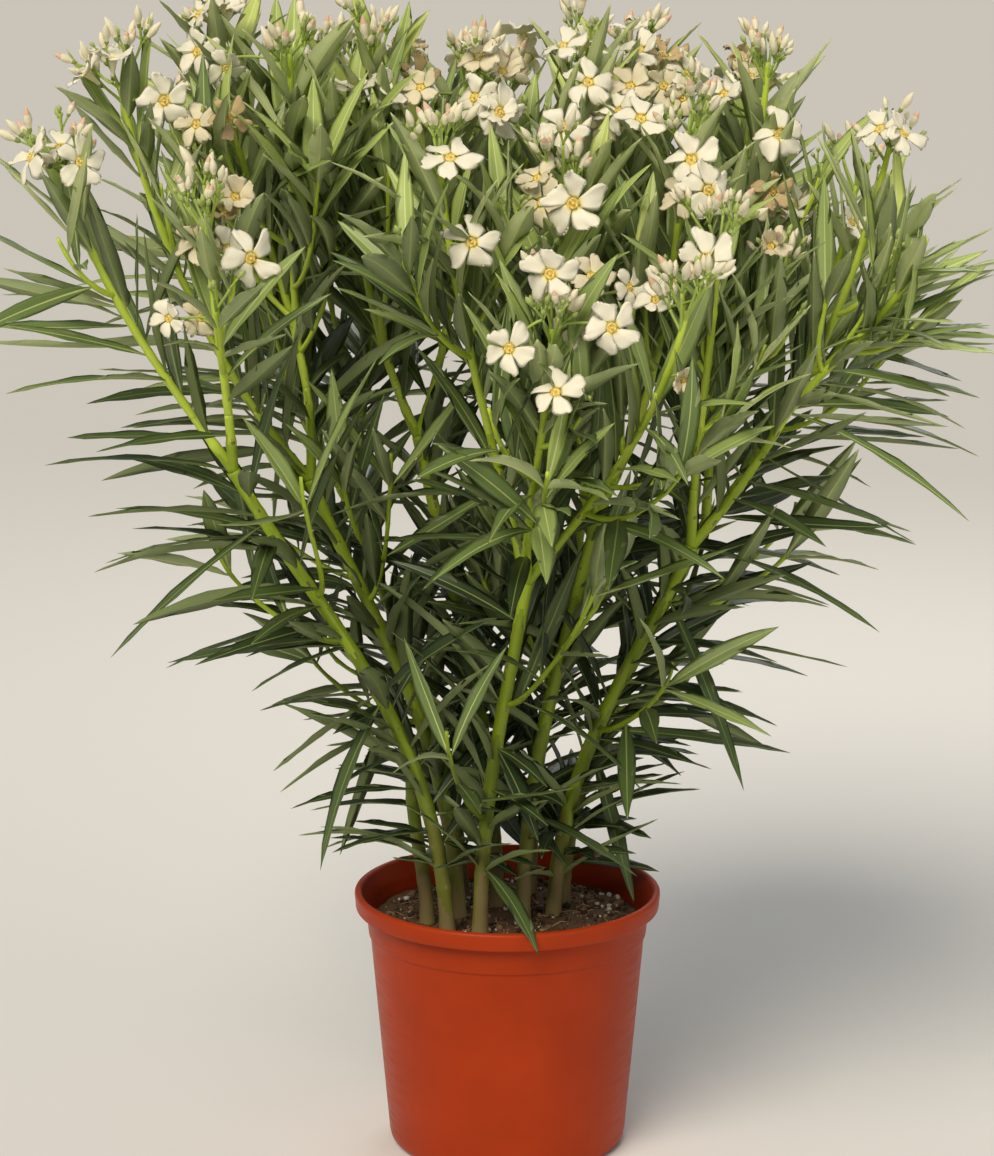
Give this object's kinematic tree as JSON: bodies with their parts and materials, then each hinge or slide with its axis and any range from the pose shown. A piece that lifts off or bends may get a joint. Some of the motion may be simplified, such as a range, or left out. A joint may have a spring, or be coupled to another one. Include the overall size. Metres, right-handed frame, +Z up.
{
  "type": "potted oleander",
  "caption": "Flowering evergreen shrub with many slim canes, narrow leaves and clusters of pale five-petalled flowers, standing in a tapered plastic nursery pot.",
  "frame": {"origin": "centre of the pot's flat underside", "axes": "+Z up along the pot's axis, -Y the front of the plant, +X to its right"},
  "size_m": [0.7777, 0.6145, 0.8953],
  "materials": {
    "pot_plastic": "moulded, satin",
    "compost": "loose fibrous compost",
    "green_bark": "smooth green bark",
    "foliage": "leathery leaf, slight sheen"
  },
  "bodies": {
    "root": {"bough_centre_face": "green_bark", "bough_far_left": "green_bark", "bough_far_right": "green_bark", "bough_front_bouquet": "green_bark", "bough_front_right": "green_bark", "bough_left_crest": "green_bark", "bough_left_face": "green_bark", "bough_left_outer": "green_bark", "bough_mid_crest": "green_bark", "bough_mid_heart": "green_bark", "bough_right_crest": "green_bark", "bough_right_face": "green_bark", "cane_back_left": "green_bark", "cane_back_mid": "green_bark", "cane_back_right": "green_bark", "cane_centre_front": "green_bark", "cane_centre_right": "green_bark", "cane_left_front": "green_bark", "cane_left_mid": "green_bark", "cane_pruned_stub": "green_bark", "cane_right_back": "green_bark", "cane_right_front": "green_bark", "compost": "compost", "mass_back_centre": "foliage", "mass_back_crest": "foliage", "mass_back_left_crest": "foliage", "mass_back_left_outer": "foliage", "mass_back_right_crest": "foliage", "mass_centre_face": "foliage", "mass_centre_heart": "foliage", "mass_far_left": "foliage", "mass_far_right": "foliage", "mass_front_bouquet": "foliage", "mass_front_right": "foliage", "mass_left_crest": "foliage", "mass_left_face": "foliage", "mass_left_outer": "foliage", "mass_mid_crest": "foliage", "mass_mid_heart": "foliage", "mass_right_crest": "foliage", "mass_right_face": "foliage", "mass_right_heart": "foliage", "mass_right_outer": "foliage", "pot": "pot_plastic", "side_back_left_high": "foliage", "side_back_left_low": "foliage", "side_back_low": "foliage", "side_back_mid_low": "foliage", "side_centre_low": "foliage", "side_front_high": "foliage", "side_front_low": "foliage", "side_left_front_high": "foliage", "side_left_front_low": "foliage", "side_left_mid_high": "foliage", "side_left_mid_low": "foliage", "side_right_back_high": "foliage", "side_right_back_low": "foliage", "side_right_front_high": "foliage", "side_right_front_low": "foliage"}
  },
  "joints": []
}
